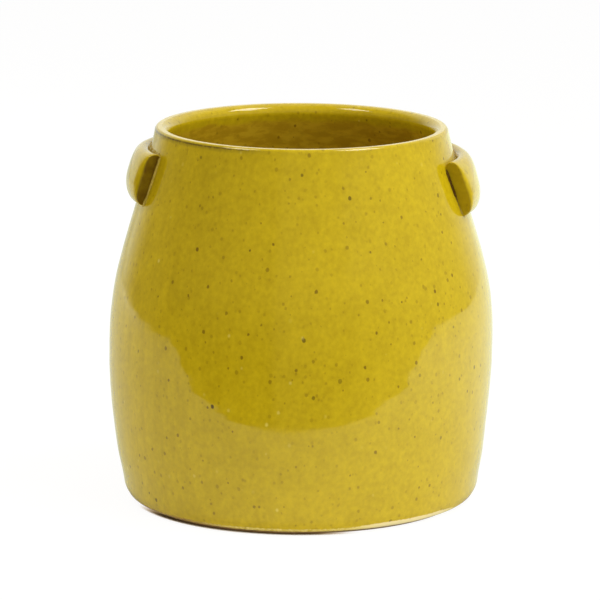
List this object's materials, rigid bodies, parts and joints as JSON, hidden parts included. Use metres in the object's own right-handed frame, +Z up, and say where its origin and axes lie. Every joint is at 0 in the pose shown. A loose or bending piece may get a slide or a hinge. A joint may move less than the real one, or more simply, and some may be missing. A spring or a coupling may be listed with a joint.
{
  "type": "two-lugged belly planter",
  "caption": "Round-bellied stoneware planter with a narrower open mouth, a rounded lip, two pressed side lugs under the rim and a turned foot.",
  "frame": {"origin": "on the axis of the pot, at the surface it stands on", "axes": "+Z up along the axis of the pot, +X through the middle of the right lug, -Y towards the viewer of the picture"},
  "size_m": [0.28, 0.28, 0.275],
  "materials": {
    "mustard_glaze": "gloss",
    "slip_under_glaze": "gloss"
  },
  "bodies": {
    "root": {"thrown_body": "mustard_glaze", "left_lug": "mustard_glaze", "right_lug": "mustard_glaze", "left_luting_bead": "slip_under_glaze", "right_luting_bead": "slip_under_glaze"}
  },
  "joints": []
}
